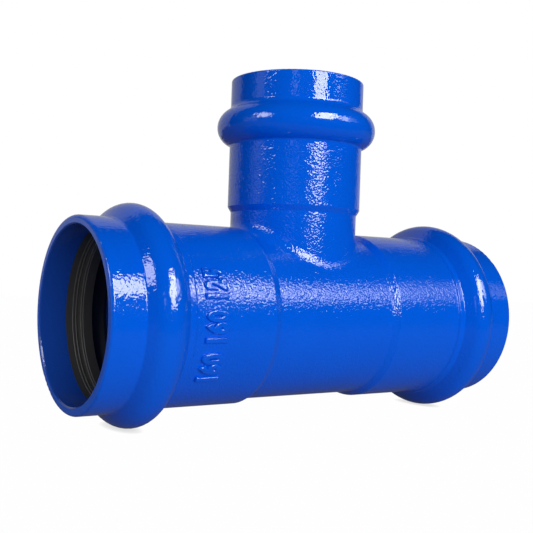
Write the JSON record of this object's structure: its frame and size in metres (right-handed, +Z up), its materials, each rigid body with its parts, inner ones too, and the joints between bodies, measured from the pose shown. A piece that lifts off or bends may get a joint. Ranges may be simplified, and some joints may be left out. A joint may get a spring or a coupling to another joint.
{
  "type": "reducing socket tee",
  "caption": "All-socket reducing pipe tee: a straight run with a push-in socket at either end and a smaller branch socket, blue coated iron with black rubber seal rings.",
  "frame": {"origin": "where the run axis and the branch axis cross", "axes": "+X along the run, +Z up the branch axis towards its mouth"},
  "size_m": [0.476, 0.2054, 0.3427],
  "materials": {
    "epoxy_coated_iron": "gloss blue fusion-bonded epoxy with slight orange peel",
    "seal_rubber": "satin black moulded rubber"
  },
  "bodies": {
    "root": {"tee_body": "epoxy_coated_iron", "seal_ring_run_left": "seal_rubber", "seal_ring_run_right": "seal_rubber", "seal_ring_branch": "seal_rubber"}
  },
  "joints": []
}
